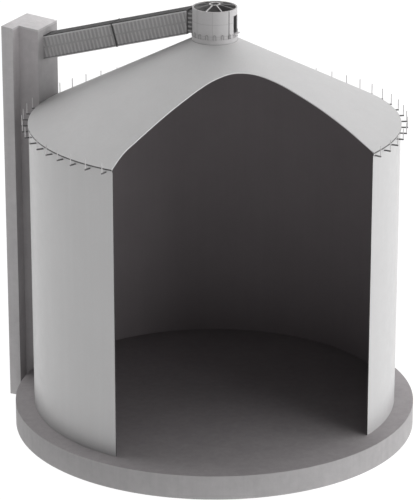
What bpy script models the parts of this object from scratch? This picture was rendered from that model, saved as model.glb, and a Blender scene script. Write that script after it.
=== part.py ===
"""A sugar silo with its elevator tower and conveyor gallery, as a 1:2 scale model in metres, +Z up.

The silo is drawn as a cutaway: a front stretch of its wall and the roof over it are left open.
The origin is on the silo's axis, at ground level under the foundation slab, and -Y is the open front.
"""

import math

import bmesh
import bpy
from mathutils import Matrix, Vector

# Foundation slab
SLAB_RADIUS = 11.05
SLAB_HEIGHT = 1.32
SLAB_SIDES = 144

# Round wall, open between the two cut edges
WALL_RADIUS = 10.0
WALL_THICKNESS = 0.06
OPENING_HALF_ANGLE = 43.4
FRONT = -90.0
WALL_SEGMENTS = 7
FACETS_PER_SEGMENT = 12
EAVE_SEGMENTS = 4

# Conical roof, heights above the ground
APEX_HEIGHT = SLAB_HEIGHT + 21.13
ROOF_SLOPE = 0.5135
ROOF_EDGE_RADIUS = 10.044
ROOF_THICKNESS = 0.05
ROOF_INNER_RADIUS = 1.05
FRONT_SECTOR_FACETS = 13

# The opening in the roof, seen from above: the left flank, the rounded tip and the right flank
ROOF_OPENING = (
    (-6.13, -6.44), (-5.41, -5.98), (-2.56, -4.36), (-0.44, -3.38), (0.75, -3.12),
    (2.16, -3.26), (3.90, -4.15), (5.52, -5.51), (6.51, -6.73),
)
OPENING_CORNER_ANGLE = OPENING_HALF_ANGLE + 0.15
OPENING_REACH = 1.15
OPENING_FRONT = -12.5
OPENING_HALF_DEPTH = 6.0
OPENING_STEPS = 6

# Eave ring with its brackets, each an arm with an upright post
EAVE_BAND_RADIUS = 10.04
EAVE_BAND_HEIGHT = 0.10
BRACKET_PITCH = 6.0
BRACKET_PHASE = 2.3
BRACKET_REACH = 10.42
BRACKET_ARM_TOP = SLAB_HEIGHT + 15.82
BRACKET_ARM_DEPTH = 0.06
BRACKET_BAR = 0.05
POST_HEIGHT = 0.56
BRACKET_CLEARANCE = 0.2

# Elevator tower, in a frame turned so that +X runs out from the silo's axis
TOWER_BEARING = 143.5
TOWER_FACE = 10.055
TOWER_DEPTH = 1.875
TOWER_WIDTH = 2.256
WING_DEPTH = 0.691
WING_WIDTH = 0.719
TOWER_WALL = 0.15
TOWER_HEIGHT_AT_FACE = SLAB_HEIGHT + 20.114
TOWER_ROOF_RISE = 0.103
TOWER_ROOF_THICKNESS = 0.12

# Gallery from the tower up to the top house
GALLERY_WIDTH = 1.0
GALLERY_HEIGHT = 1.356
GALLERY_RISE = 0.281
GALLERY_TOP_ON_AXIS = SLAB_HEIGHT + 22.477
GALLERY_WALL = 0.05
GALLERY_HEAD = 1.43
JOINT_FRAME_LENGTH = 0.07
JOINT_FRAME_PROUD = 0.02
NECK_WIDTH = 0.84
NECK_WALL = 0.04
NECK_ROOT = 0.9
NECK_BOTTOM = SLAB_HEIGHT + 20.80
NECK_TOP = SLAB_HEIGHT + 21.98
HEAD_FRAME_LENGTH = 0.05

# Top house on the roof's crown
DRUM_RADIUS = 1.2
DRUM_WALL = 0.05
DRUM_RIM_HEIGHT = SLAB_HEIGHT + 22.278
DRUM_QUARTER_START = -63.0
DRUM_FACETS_PER_QUARTER = 16
BASE_RING_RADIUS = 1.225
BASE_RING_TOP = SLAB_HEIGHT + 20.76
BASE_RING_LIP = 0.04
DRUM_FLOOR_TOP = SLAB_HEIGHT + 20.92
DOOR_BEARING = -32.3
DOOR_WIDTH = 0.56
DOOR_BOTTOM = SLAB_HEIGHT + 20.94
DOOR_TOP = SLAB_HEIGHT + 21.92
SILL_REACH = 0.12
SILL_THICKNESS = 0.06
SILL_SIDE = 0.03
HUB_RADIUS = 0.29
HUB_FACETS = 24
HUB_HEIGHT_ABOVE_RIM = 0.16
SPOKE_BAR = 0.05
SPOKE_COUNT = 8
SPOKE_PHASE = -82.0
SPOKE_DROP = 0.003
RIM_DEPTH = 0.07

# Clearances between touching solids, and how far shapes reach into or past each other
GAP = 0.0003
ROUND_CLEARANCE = 0.0008
WELD_INSET = 0.002
WELD_DEPTH = 0.02
OVERSHOOT = 1.0

# Surface colours
CONCRETE = (0.36, 0.36, 0.36)
TOWER_CONCRETE = (0.30, 0.30, 0.30)
SHELL_PAINT = (0.62, 0.62, 0.62)
ROOF_PAINT = (0.52, 0.52, 0.52)
STEEL_TRIM = (0.16, 0.16, 0.16)
GALLERY_SHEET = (0.18, 0.18, 0.18)
GALLERY_ROOF_SHEET = (0.09, 0.09, 0.09)
DRUM_PAINT = (0.42, 0.42, 0.42)


def clear_scene():
    for old in list(bpy.data.objects):
        bpy.data.objects.remove(old, do_unlink=True)


def make_collection(name):
    collection = bpy.data.collections.new(name)
    bpy.context.scene.collection.children.link(collection)
    return collection


def make_material(name, colour, roughness, metallic):
    material = bpy.data.materials.new(name)
    material.use_nodes = True
    shader = material.node_tree.nodes["Principled BSDF"]
    shader.inputs["Base Color"].default_value = (*colour, 1.0)
    shader.inputs["Roughness"].default_value = roughness
    shader.inputs["Metallic"].default_value = metallic
    return material


clear_scene()
PARTS = make_collection("sugar_silo")
CUTTERS = make_collection("cutters")


def mesh_object(name, bm, collection, bearing=0.0):
    """Turn a bmesh into an object, rotated about the silo's axis by its bearing in degrees."""
    bmesh.ops.recalc_face_normals(bm, faces=bm.faces)
    mesh = bpy.data.meshes.new(name)
    bm.to_mesh(mesh)
    bm.free()
    obj = bpy.data.objects.new(name, mesh)
    obj.rotation_euler.z = math.radians(bearing)
    collection.objects.link(obj)
    return obj


def part(name, bm, colour, roughness=0.6, metallic=0.0, bearing=0.0):
    obj = mesh_object(name, bm, PARTS, bearing)
    obj.data.materials.append(make_material(name + "_finish", colour, roughness, metallic))
    obj.data.shade_smooth()
    obj.data.set_sharp_from_angle(angle=math.radians(20.0))
    return obj


def cutter(name, bm, bearing=0.0):
    obj = mesh_object(name, bm, CUTTERS, bearing)
    obj.hide_render = True
    obj.display_type = "WIRE"
    return obj


def apply_boolean(obj, other, operation):
    modifier = obj.modifiers.new(other.name, "BOOLEAN")
    modifier.object = other
    modifier.operation = operation
    modifier.solver = "EXACT"


def turned_sector(profile, start, end, facets):
    """Solid of revolution between two bearings, from a closed (radius, height) outline."""
    bm = bmesh.new()
    a = math.radians(start)
    ring = [bm.verts.new((r * math.cos(a), r * math.sin(a), z)) for r, z in profile]
    face = bm.faces.new(ring)
    bmesh.ops.spin(
        bm,
        geom=[face, *face.edges, *face.verts],
        cent=(0.0, 0.0, 0.0),
        axis=(0.0, 0.0, 1.0),
        angle=math.radians(end - start),
        steps=facets,
    )
    return bm


def turned_ring(profile, facets, start=0.0):
    """Full ring of revolution from a closed (radius, height) outline."""
    bm = bmesh.new()
    a = math.radians(start)
    ring = [bm.verts.new((r * math.cos(a), r * math.sin(a), z)) for r, z in profile]
    edges = [bm.edges.new((ring[i - 1], ring[i])) for i in range(len(ring))]
    bmesh.ops.spin(
        bm,
        geom=ring + edges,
        cent=(0.0, 0.0, 0.0),
        axis=(0.0, 0.0, 1.0),
        angle=math.tau,
        steps=facets,
        use_merge=True,
    )
    return bm


def disc(radius, low, high, sides):
    bm = bmesh.new()
    place = Matrix.Translation((0.0, 0.0, (low + high) / 2.0))
    bmesh.ops.create_cone(
        bm, cap_ends=True, segments=sides, radius1=radius, radius2=radius, depth=high - low, matrix=place
    )
    return bm


def box(low, high):
    bm = bmesh.new()
    low, high = Vector(low), Vector(high)
    size = high - low
    place = Matrix.Translation((low + high) / 2.0) @ Matrix.Diagonal((*size, 1.0))
    bmesh.ops.create_cube(bm, size=1.0, matrix=place)
    return bm


def lean(bm, rise):
    """Shear the solid so that its height changes by rise for each metre along X."""
    matrix = Matrix.Identity(4)
    matrix[2][0] = rise
    bmesh.ops.transform(bm, matrix=matrix, verts=bm.verts)
    return bm


def trim(bm, point, normal):
    """Cut away what lies on the normal's side of a plane, and close the cut."""
    geometry = [*bm.verts, *bm.edges, *bm.faces]
    result = bmesh.ops.bisect_plane(bm, geom=geometry, plane_co=point, plane_no=normal, clear_outer=True)
    rim = [item for item in result["geom_cut"] if isinstance(item, bmesh.types.BMEdge)]
    bmesh.ops.contextual_create(bm, geom=rim)
    return bm


def roof_top(radius):
    return APEX_HEIGHT - ROOF_SLOPE * radius


def roof_underside(radius):
    return roof_top(radius) - ROOF_THICKNESS * math.hypot(1.0, ROOF_SLOPE)


def gap_angle(radius):
    """Half the clearance between two neighbouring sectors, in degrees."""
    return math.degrees(0.5 * GAP / radius)


FIRST_BEARING = FRONT + OPENING_HALF_ANGLE
WALL_SPAN = 360.0 - 2.0 * OPENING_HALF_ANGLE


def make_slab():
    slab = part("foundation_slab", disc(SLAB_RADIUS, 0.0, SLAB_HEIGHT, SLAB_SIDES), CONCRETE, 0.85)
    low = (TOWER_FACE - GAP, -TOWER_WIDTH / 2.0 - GAP, -OVERSHOOT)
    high = (SLAB_RADIUS + OVERSHOOT, TOWER_WIDTH / 2.0 + GAP, SLAB_HEIGHT + OVERSHOOT)
    apply_boolean(slab, cutter("tower_notch", box(low, high), TOWER_BEARING), "DIFFERENCE")


def make_shell():
    span = WALL_SPAN / WALL_SEGMENTS
    inner = WALL_RADIUS - WALL_THICKNESS
    low = SLAB_HEIGHT + GAP
    high = roof_underside(WALL_RADIUS) - GAP
    profile = ((inner, low), (WALL_RADIUS, low), (WALL_RADIUS, high), (inner, high))
    turn = gap_angle(inner)
    for i in range(WALL_SEGMENTS):
        start = FIRST_BEARING + i * span
        bm = turned_sector(profile, start + turn, start + span - turn, FACETS_PER_SEGMENT)
        part(f"shell_segment_{i + 1}", bm, SHELL_PAINT, 0.5)


def make_roof_opening():
    """Upright prism over the opened part of the roof."""
    curve = bpy.data.curves.new("roof_opening", "CURVE")
    curve.dimensions = "2D"
    curve.fill_mode = "BOTH"
    curve.resolution_u = OPENING_STEPS
    curve.extrude = OPENING_HALF_DEPTH
    corner = math.radians(OPENING_CORNER_ANGLE)
    right = Vector((math.sin(corner), -math.cos(corner))) * ROOF_EDGE_RADIUS
    left = Vector((-right.x, right.y))
    far_right, far_left = right * OPENING_REACH, left * OPENING_REACH
    front_right, front_left = (Vector((side.x, OPENING_FRONT)) for side in (far_right, far_left))
    outer = [far_right, front_right, front_left, far_left]
    points = [left, *(Vector(place) for place in ROOF_OPENING), right, *outer]
    spline = curve.splines.new("BEZIER")
    spline.bezier_points.add(len(points) - 1)
    spline.use_cyclic_u = True
    for i, place in enumerate(points):
        knot = spline.bezier_points[i]
        knot.co = (place.x, place.y, 0.0)
        kind = "AUTO" if 0 < i <= len(ROOF_OPENING) else "VECTOR"
        knot.handle_left_type = kind
        knot.handle_right_type = kind
    flat = bpy.data.objects.new("roof_opening_outline", curve)
    flat.location.z = roof_top(ROOF_EDGE_RADIUS / 2.0)
    CUTTERS.objects.link(flat)
    bpy.context.view_layer.update()
    graph = bpy.context.evaluated_depsgraph_get()
    mesh = bpy.data.meshes.new_from_object(flat.evaluated_get(graph))
    bm = bmesh.new()
    bm.from_mesh(mesh)
    bmesh.ops.transform(bm, matrix=flat.matrix_world, verts=bm.verts)
    bmesh.ops.remove_doubles(bm, verts=bm.verts, dist=GAP)
    bpy.data.objects.remove(flat, do_unlink=True)
    return cutter("roof_opening_prism", bm)


def make_roof():
    opening = make_roof_opening()
    profile = (
        (ROOF_INNER_RADIUS, roof_underside(ROOF_INNER_RADIUS)),
        (ROOF_EDGE_RADIUS, roof_underside(ROOF_EDGE_RADIUS)),
        (ROOF_EDGE_RADIUS, roof_top(ROOF_EDGE_RADIUS)),
        (ROOF_INNER_RADIUS, roof_top(ROOF_INNER_RADIUS)),
    )
    span = WALL_SPAN / WALL_SEGMENTS
    turn = gap_angle(ROOF_INNER_RADIUS)
    for i in range(WALL_SEGMENTS):
        start = FIRST_BEARING + i * span
        bm = turned_sector(profile, start + turn, start + span - turn, FACETS_PER_SEGMENT)
        segment = part(f"roof_segment_{i + 1}", bm, ROOF_PAINT, 0.5)
        if i == 0:
            apply_boolean(segment, opening, "DIFFERENCE")
    for name, start in (("roof_front_left", FRONT - OPENING_HALF_ANGLE), ("roof_front_right", FRONT)):
        end = start + OPENING_HALF_ANGLE
        bm = turned_sector(profile, start + turn, end - turn, FRONT_SECTOR_FACETS)
        apply_boolean(part(name, bm, ROOF_PAINT, 0.5), opening, "DIFFERENCE")


def bracket_bearings():
    """Bearings of the brackets that the open front and the tower leave room for."""
    bearings = []
    for i in range(round(360.0 / BRACKET_PITCH)):
        bearing = BRACKET_PHASE + i * BRACKET_PITCH
        from_front = abs((bearing - FRONT + 180.0) % 360.0 - 180.0)
        if from_front < OPENING_HALF_ANGLE:
            continue
        from_tower = math.radians(bearing - TOWER_BEARING)
        aside = BRACKET_REACH * abs(math.sin(from_tower))
        if math.cos(from_tower) > 0.0 and aside < TOWER_WIDTH / 2.0 + BRACKET_CLEARANCE:
            continue
        bearings.append(bearing)
    return bearings


def make_bracket(name, bearing):
    """Arm out from the eave band, with an upright post at its outer end."""
    half, thin = BRACKET_BAR / 2.0, BRACKET_BAR / 2.0 - WELD_INSET
    inside = WALL_RADIUS + GAP
    low = BRACKET_ARM_TOP - BRACKET_ARM_DEPTH
    middle = BRACKET_ARM_TOP - BRACKET_ARM_DEPTH / 2.0
    arm = cutter(name + "_arm", box((inside, -half, low), (BRACKET_REACH, half, BRACKET_ARM_TOP)), bearing)
    strap_top = roof_underside(EAVE_BAND_RADIUS) - EAVE_BAND_HEIGHT / 2.0
    strap = box((inside, -thin, middle), (EAVE_BAND_RADIUS - WELD_INSET, thin, strap_top))
    post = box(
        (BRACKET_REACH - BRACKET_BAR, -thin, middle),
        (BRACKET_REACH - WELD_INSET, thin, BRACKET_ARM_TOP + POST_HEIGHT),
    )
    apply_boolean(arm, cutter(name + "_strap", strap, bearing), "UNION")
    apply_boolean(arm, cutter(name + "_post", post, bearing), "UNION")
    return arm


def make_eave():
    span = WALL_SPAN / EAVE_SEGMENTS
    facets = WALL_SEGMENTS * FACETS_PER_SEGMENT // EAVE_SEGMENTS
    inner = WALL_RADIUS + GAP
    high = roof_underside(EAVE_BAND_RADIUS) - GAP
    low = high - EAVE_BAND_HEIGHT
    profile = ((inner, low), (EAVE_BAND_RADIUS, low), (EAVE_BAND_RADIUS, high), (inner, high))
    turn = gap_angle(inner)
    margin = math.degrees(BRACKET_BAR / WALL_RADIUS)
    for i in range(EAVE_SEGMENTS):
        start = FIRST_BEARING + i * span
        bm = turned_sector(profile, start + turn, start + span - turn, facets)
        band = part(f"eave_ring_{i + 1}", bm, STEEL_TRIM, 0.5, 0.3)
        for bearing in bracket_bearings():
            along = (bearing - start) % 360.0
            if margin < along < span - margin:
                arm = make_bracket(f"bracket_{round(bearing)}", bearing)
                apply_boolean(band, arm, "UNION")


def tower_underside_plane():
    point = Vector((TOWER_FACE, 0.0, TOWER_HEIGHT_AT_FACE - TOWER_ROOF_THICKNESS - GAP))
    return point, Vector((-TOWER_ROOF_RISE, 0.0, 1.0)).normalized()


def gallery_top(x):
    return GALLERY_TOP_ON_AXIS - GALLERY_RISE * x


def gallery_bore(name, start, end):
    """Clear inside of the gallery, as a leaning box between two distances from the axis."""
    half = GALLERY_WIDTH / 2.0 - GALLERY_WALL
    low = GALLERY_TOP_ON_AXIS - GALLERY_HEIGHT + GALLERY_WALL
    high = GALLERY_TOP_ON_AXIS - GALLERY_WALL
    bm = lean(box((start, -half, low), (end, half, high)), -GALLERY_RISE)
    return cutter(name, bm, TOWER_BEARING)


def make_tower():
    near, far = TOWER_FACE, TOWER_FACE + TOWER_DEPTH
    half, wall = TOWER_WIDTH / 2.0, TOWER_WALL
    wing_near, wing_end = far - WING_DEPTH, half + WING_WIDTH
    top = TOWER_HEIGHT_AT_FACE + OVERSHOOT
    walls = {
        "tower_silo_side_wall": ((near, -half), (near + wall, half)),
        "tower_back_wall": ((near + wall + GAP, -half), (far, -half + wall)),
        "tower_outer_wall": ((far - wall, -half + wall + GAP), (far, wing_end)),
        "tower_wing_end_wall": ((wing_near, wing_end - wall), (far - wall - GAP, wing_end)),
        "tower_wing_side_wall": ((wing_near, half + GAP), (wing_near + wall, wing_end - wall - GAP)),
        "tower_front_wall": ((near + wall + GAP, half - wall), (wing_near + wall, half)),
    }
    point, normal = tower_underside_plane()
    for name, (low, high) in walls.items():
        bm = trim(box((*low, 0.0), (*high, top)), point, normal)
        shaft_wall = part(name, bm, TOWER_CONCRETE, 0.8, bearing=TOWER_BEARING)
        if name == "tower_silo_side_wall":
            mouth = gallery_bore("gallery_mouth", near - OVERSHOOT, near + OVERSHOOT)
            apply_boolean(shaft_wall, mouth, "DIFFERENCE")
    base = TOWER_HEIGHT_AT_FACE - TOWER_ROOF_RISE * TOWER_FACE
    plate = lean(box((near, -half, base - TOWER_ROOF_THICKNESS), (far, wing_end, base)), TOWER_ROOF_RISE)
    roof = part("tower_roof", plate, TOWER_CONCRETE, 0.8, bearing=TOWER_BEARING)
    recess = box((near - OVERSHOOT, half, 0.0), (wing_near, wing_end + OVERSHOOT, top))
    apply_boolean(roof, cutter("tower_recess", recess, TOWER_BEARING), "DIFFERENCE")


def make_gallery():
    half, wall = GALLERY_WIDTH / 2.0, GALLERY_WALL
    top, bottom = GALLERY_TOP_ON_AXIS, GALLERY_TOP_ON_AXIS - GALLERY_HEIGHT
    start, end = GALLERY_HEAD, TOWER_FACE - GAP
    plates = {
        "floor": ((-half, bottom), (half, bottom + wall), GALLERY_SHEET),
        "roof": ((-half, top - wall), (half, top), GALLERY_ROOF_SHEET),
        "left_wall": ((half - wall, bottom + wall + GAP), (half, top - wall - GAP), GALLERY_SHEET),
        "right_wall": ((-half, bottom + wall + GAP), (-half + wall, top - wall - GAP), GALLERY_SHEET),
    }
    along = Vector((-1.0, 0.0, GALLERY_RISE)).normalized()
    middle_x = (start + end) / 2.0
    middle = Vector((middle_x, 0.0, gallery_top(middle_x) - GALLERY_HEIGHT / 2.0))
    stand_off = along * (JOINT_FRAME_LENGTH / 2.0 + GAP)
    for plate, (low, high, colour) in plates.items():
        lower = lean(box((middle_x - OVERSHOOT, *low), (end, *high)), -GALLERY_RISE)
        trim(lower, middle - stand_off, along)
        part("gallery_lower_" + plate, lower, colour, 0.6, 0.2, TOWER_BEARING)
        upper = lean(box((start, *low), (middle_x + OVERSHOOT, *high)), -GALLERY_RISE)
        trim(upper, middle + stand_off, -along)
        part("gallery_upper_" + plate, upper, colour, 0.6, 0.2, TOWER_BEARING)
    proud = JOINT_FRAME_PROUD
    low = (middle_x - OVERSHOOT, -half - proud, bottom - proud)
    frame = lean(box(low, (middle_x + OVERSHOOT, half + proud, top + proud)), -GALLERY_RISE)
    trim(frame, middle + along * JOINT_FRAME_LENGTH / 2.0, along)
    trim(frame, middle - along * JOINT_FRAME_LENGTH / 2.0, -along)
    joint = part("gallery_joint_frame", frame, STEEL_TRIM, 0.6, 0.2, TOWER_BEARING)
    bore = gallery_bore("gallery_joint_bore", middle_x - 2.0 * OVERSHOOT, middle_x + 2.0 * OVERSHOOT)
    apply_boolean(joint, bore, "DIFFERENCE")


def make_gallery_neck():
    """Short collar that joins the gallery's head to the top house."""
    half, neck_half = GALLERY_WIDTH / 2.0, NECK_WIDTH / 2.0
    end = GALLERY_HEAD - GAP
    bottom = GALLERY_TOP_ON_AXIS - GALLERY_HEIGHT
    flange = lean(
        box((end - HEAD_FRAME_LENGTH, -half, bottom), (end, half, GALLERY_TOP_ON_AXIS)), -GALLERY_RISE
    )
    neck = part("gallery_neck", flange, STEEL_TRIM, 0.6, 0.2, TOWER_BEARING)
    collar = box((NECK_ROOT, -neck_half, NECK_BOTTOM), (end - HEAD_FRAME_LENGTH / 2.0, neck_half, NECK_TOP))
    apply_boolean(neck, cutter("neck_collar", collar, TOWER_BEARING), "UNION")
    inside = neck_half - NECK_WALL
    bore = box(
        (GALLERY_HEAD - OVERSHOOT, -inside, NECK_BOTTOM + NECK_WALL),
        (GALLERY_HEAD + OVERSHOOT, inside, NECK_TOP - NECK_WALL),
    )
    apply_boolean(neck, cutter("neck_bore", bore, TOWER_BEARING), "DIFFERENCE")
    facets = 4 * DRUM_FACETS_PER_QUARTER
    room = disc(DRUM_RADIUS + GAP, NECK_BOTTOM - OVERSHOOT, NECK_TOP + OVERSHOOT, facets)
    apply_boolean(neck, cutter("neck_room_for_drum", room, DRUM_QUARTER_START), "DIFFERENCE")


def make_top_house():
    inner = DRUM_RADIUS - DRUM_WALL
    seat = ROUND_CLEARANCE
    lip = inner - BASE_RING_LIP
    base = (
        (lip, roof_top(lip) + seat),
        (BASE_RING_RADIUS, roof_top(BASE_RING_RADIUS) + seat),
        (BASE_RING_RADIUS, BASE_RING_TOP),
        (lip, BASE_RING_TOP),
    )
    facets = 4 * DRUM_FACETS_PER_QUARTER
    part("top_house_base_ring", turned_ring(base, facets, DRUM_QUARTER_START), DRUM_PAINT, 0.5, 0.2)

    low, high = BASE_RING_TOP + GAP, DRUM_RIM_HEIGHT
    profile = ((inner, low), (DRUM_RADIUS, low), (DRUM_RADIUS, high), (inner, high))
    start, end = DRUM_RADIUS - OVERSHOOT, DRUM_RADIUS + OVERSHOOT
    half = DOOR_WIDTH / 2.0
    door = box((start, -half, DOOR_BOTTOM), (end, half, DOOR_TOP))
    doorway = cutter("top_house_doorway", door, DOOR_BEARING)
    sill = box(
        (DRUM_RADIUS - WELD_DEPTH, -half - SILL_SIDE, DOOR_BOTTOM - SILL_THICKNESS),
        (DRUM_RADIUS + SILL_REACH, half + SILL_SIDE, DOOR_BOTTOM - WELD_INSET),
    )
    doorsill = cutter("top_house_sill", sill, DOOR_BEARING)
    half = NECK_WIDTH / 2.0 - NECK_WALL
    mouth = box((start, -half, DRUM_FLOOR_TOP + GAP), (end, half, NECK_TOP - NECK_WALL))
    hatch = cutter("top_house_gallery_mouth", mouth, TOWER_BEARING)
    turn = gap_angle(inner)
    for i in range(4):
        start = DRUM_QUARTER_START + 90.0 * i
        bm = turned_sector(profile, start + turn, start + 90.0 - turn, DRUM_FACETS_PER_QUARTER)
        quarter = part(f"top_house_wall_{i + 1}", bm, DRUM_PAINT, 0.5, 0.2)
        if start < DOOR_BEARING < start + 90.0:
            apply_boolean(quarter, doorsill, "UNION")
            apply_boolean(quarter, doorway, "DIFFERENCE")
        if start < TOWER_BEARING < start + 90.0:
            apply_boolean(quarter, hatch, "DIFFERENCE")

    floor = disc(inner - ROUND_CLEARANCE, BASE_RING_TOP + GAP, DRUM_FLOOR_TOP, facets)
    part("top_house_floor", floor, STEEL_TRIM, 0.7, 0.2, DRUM_QUARTER_START)


def make_roof_frame():
    """Open conical frame of the top house: a rim ring, spokes and a hub ring in one weldment."""
    facets = 4 * DRUM_FACETS_PER_QUARTER
    outer = DRUM_RADIUS - DRUM_WALL - ROUND_CLEARANCE
    inner = outer - SPOKE_BAR
    rim_high, rim_low = DRUM_RIM_HEIGHT, DRUM_RIM_HEIGHT - RIM_DEPTH
    rim = ((inner, rim_low), (outer, rim_low), (outer, rim_high), (inner, rim_high))
    frame = part("top_house_roof_frame", turned_ring(rim, facets, DRUM_QUARTER_START), DRUM_PAINT, 0.5, 0.2)
    half = SPOKE_BAR / 2.0
    hub_high = DRUM_RIM_HEIGHT + HUB_HEIGHT_ABOVE_RIM
    hub = (
        (HUB_RADIUS - half, hub_high - RIM_DEPTH),
        (HUB_RADIUS + half, hub_high - RIM_DEPTH),
        (HUB_RADIUS + half, hub_high),
        (HUB_RADIUS - half, hub_high),
    )
    apply_boolean(frame, cutter("hub_ring", turned_ring(hub, HUB_FACETS)), "UNION")
    run = inner + half - HUB_RADIUS
    fall = -HUB_HEIGHT_ABOVE_RIM / run
    base = DRUM_RIM_HEIGHT - fall * (inner + half)
    for i in range(SPOKE_COUNT):
        high = base - SPOKE_DROP
        spoke = box((HUB_RADIUS, -half, high - SPOKE_BAR), (inner + half, half, high))
        bearing = SPOKE_PHASE + 360.0 / SPOKE_COUNT * i
        apply_boolean(frame, cutter(f"spoke_{i + 1}", lean(spoke, fall), bearing), "UNION")


make_slab()
make_shell()
make_roof()
make_eave()
make_tower()
make_gallery()
make_gallery_neck()
make_top_house()
make_roof_frame()
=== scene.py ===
"""The dressed look of the cutaway sugar silo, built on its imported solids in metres, +Z up.

Bearings are degrees about the silo's axis, from +X. The open front faces -Y.
"""

import math

import bmesh
import bpy
from mathutils import Matrix, Vector


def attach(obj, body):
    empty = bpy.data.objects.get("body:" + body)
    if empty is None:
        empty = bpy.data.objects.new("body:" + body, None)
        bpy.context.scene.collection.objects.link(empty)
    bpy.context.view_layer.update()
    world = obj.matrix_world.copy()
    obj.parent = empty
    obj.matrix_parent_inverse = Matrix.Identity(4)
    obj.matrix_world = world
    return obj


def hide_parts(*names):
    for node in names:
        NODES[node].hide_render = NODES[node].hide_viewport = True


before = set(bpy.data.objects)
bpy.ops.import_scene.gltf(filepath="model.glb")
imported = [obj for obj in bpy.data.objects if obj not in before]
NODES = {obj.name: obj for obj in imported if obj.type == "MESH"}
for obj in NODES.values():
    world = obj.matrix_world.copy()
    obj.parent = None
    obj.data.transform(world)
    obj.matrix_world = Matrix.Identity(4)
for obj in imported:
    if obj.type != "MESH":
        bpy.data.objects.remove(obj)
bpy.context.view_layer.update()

# Clearance between pieces, and how far a cutting shape runs past what it cuts
GAP = 0.0003
OVERSHOOT = 1.0

# How faces are told apart: the share of a normal along a direction, and distances from a surface
FACING = 0.5
NEAR = 0.01
VERY_NEAR = 0.001

# Edges: the angle past which one shows sharp, and how bevels are made
SHARP_ANGLE = 30.0
BEVEL_STEPS = 2
BEVEL_PROFILE = 0.5
BOX_BEVEL_PROFILE = 0.6
CUT_TOLERANCE = 0.00001

# Foundation slab
SLAB_RADIUS = 11.05
SLAB_HEIGHT = 1.32
SLAB_SIDES = 288
SLAB_CHAMFER = 0.014

# Round wall, from one edge of the open front to the other
WALL_RADIUS = 10.0
WALL_THICKNESS = 0.06
WALL_STEPS = 336
WALL_SEGMENTS = 7
FRONT = -90.0
OPENING_HALF_ANGLE = 43.4
FIRST_BEARING = FRONT + OPENING_HALF_ANGLE
LAST_BEARING = FRONT + 360.0 - OPENING_HALF_ANGLE

# Cone roof
APEX_HEIGHT = SLAB_HEIGHT + 21.13
ROOF_SLOPE = 0.5135
ROOF_EDGE_RADIUS = 10.044
ROOF_THICKNESS = 0.05
ROOF_INNER_RADIUS = 1.05
ROOF_STEPS = 360
ROOF_SEGMENTS = 7

# Opened part of the roof: plan points of its curved edge, and the sides that run out past the eave
ROOF_OPENING = (
    (-6.13, -6.44), (-5.41, -5.98), (-2.56, -4.36), (-0.44, -3.38), (0.75, -3.12),
    (2.16, -3.26), (3.90, -4.15), (5.52, -5.51), (6.51, -6.73),
)
OPENING_CORNER_ANGLE = OPENING_HALF_ANGLE + 0.15
OPENING_REACH = 1.15
OPENING_FRONT = -12.5
OPENING_HALF_DEPTH = 6.0
OPENING_STEPS = 16

# Eave band and brackets
EAVE_BAND_RADIUS = 10.04
EAVE_BAND_HEIGHT = 0.10
EAVE_LIP_HEIGHT = 0.02
EAVE_RINGS = 4
BRACKET_PITCH = 6.0
BRACKET_PHASE = 2.3
BRACKET_REACH = 10.39
BRACKET_CLEARANCE = 0.2
ARM_TOP = SLAB_HEIGHT + 15.82
ARM_DEPTH = 0.07
ARM_HALF_WIDTH = 0.03
ARM_BEVEL = 0.006
POST_HEIGHT = 0.56
POST_RADIUS = 0.023
POST_SIDES = 14
POST_ROOT = 0.01
POST_RIM = 0.008
PLATE_HALF_WIDTH = 0.045
PLATE_THICKNESS = 0.008
PLATE_DROP = 0.03
PLATE_BEVEL = 0.003

# Elevator tower, in a frame turned so that +X runs out from the silo's axis
TOWER_BEARING = 143.5
TOWER_FACE = 10.055
TOWER_DEPTH = 1.875
TOWER_WIDTH = 2.256
WING_DEPTH = 0.691
WING_WIDTH = 0.719
WING_FACE = TOWER_FACE + TOWER_DEPTH - WING_DEPTH
TOWER_WALL = 0.15
TOWER_BEVEL = 0.012
TOWER_HEIGHT_AT_FACE = SLAB_HEIGHT + 20.114
TOWER_ROOF_RISE = 0.103
TOWER_ROOF_THICKNESS = 0.12

# Gallery: its sheets run between two distances down its top line and are cut upright at head and foot
GALLERY_WIDTH = 1.0
GALLERY_HEIGHT = 1.356
GALLERY_RISE = 0.281
GALLERY_TILT = math.atan(GALLERY_RISE)
GALLERY_TOP_ON_AXIS = SLAB_HEIGHT + 22.477
GALLERY_WALL = 0.05
GALLERY_HEAD = 1.43
GALLERY_FOOT = TOWER_FACE - GAP
GALLERY_JOINT_HALF_WIDTH = 0.035
SHEET_LEAD = 0.1
SHEET_OVERRUN = 0.5
SHEET_LOW = (GALLERY_WALL - GALLERY_HEIGHT) * math.cos(GALLERY_TILT) + GAP
SHEET_HIGH = -GALLERY_WALL * math.cos(GALLERY_TILT) - GAP
RIB_PITCH = 0.235
RIB_FLAT = 0.0846
RIB_SLOPE = RIB_PITCH / 2.0 - RIB_FLAT
RIB_DEPTH = 0.028
GROOVE_DEPTH = 0.012
GROOVE_HALF_HEIGHT = 0.05
EDGE_ANGLE_WIDTH = 0.03
EDGE_ANGLE_PROUD = 0.002
TOP_ANGLE_HEIGHT = 0.07
FOOT_ANGLE_HEIGHT = 0.045

# Gallery's neck
NECK_WIDTH = 0.84
NECK_WALL = 0.04
NECK_BOTTOM = SLAB_HEIGHT + 20.80
NECK_TOP = SLAB_HEIGHT + 21.98
NECK_HALF_ANGLE = 25.0
SLAT_COUNT = 5
SLAT_START = 1.14
SLAT_END = 1.378
SLAT_HALF_HEIGHT = 0.05
SLAT_DEPTH = 0.03
SLAT_BEVEL = 0.008

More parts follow.
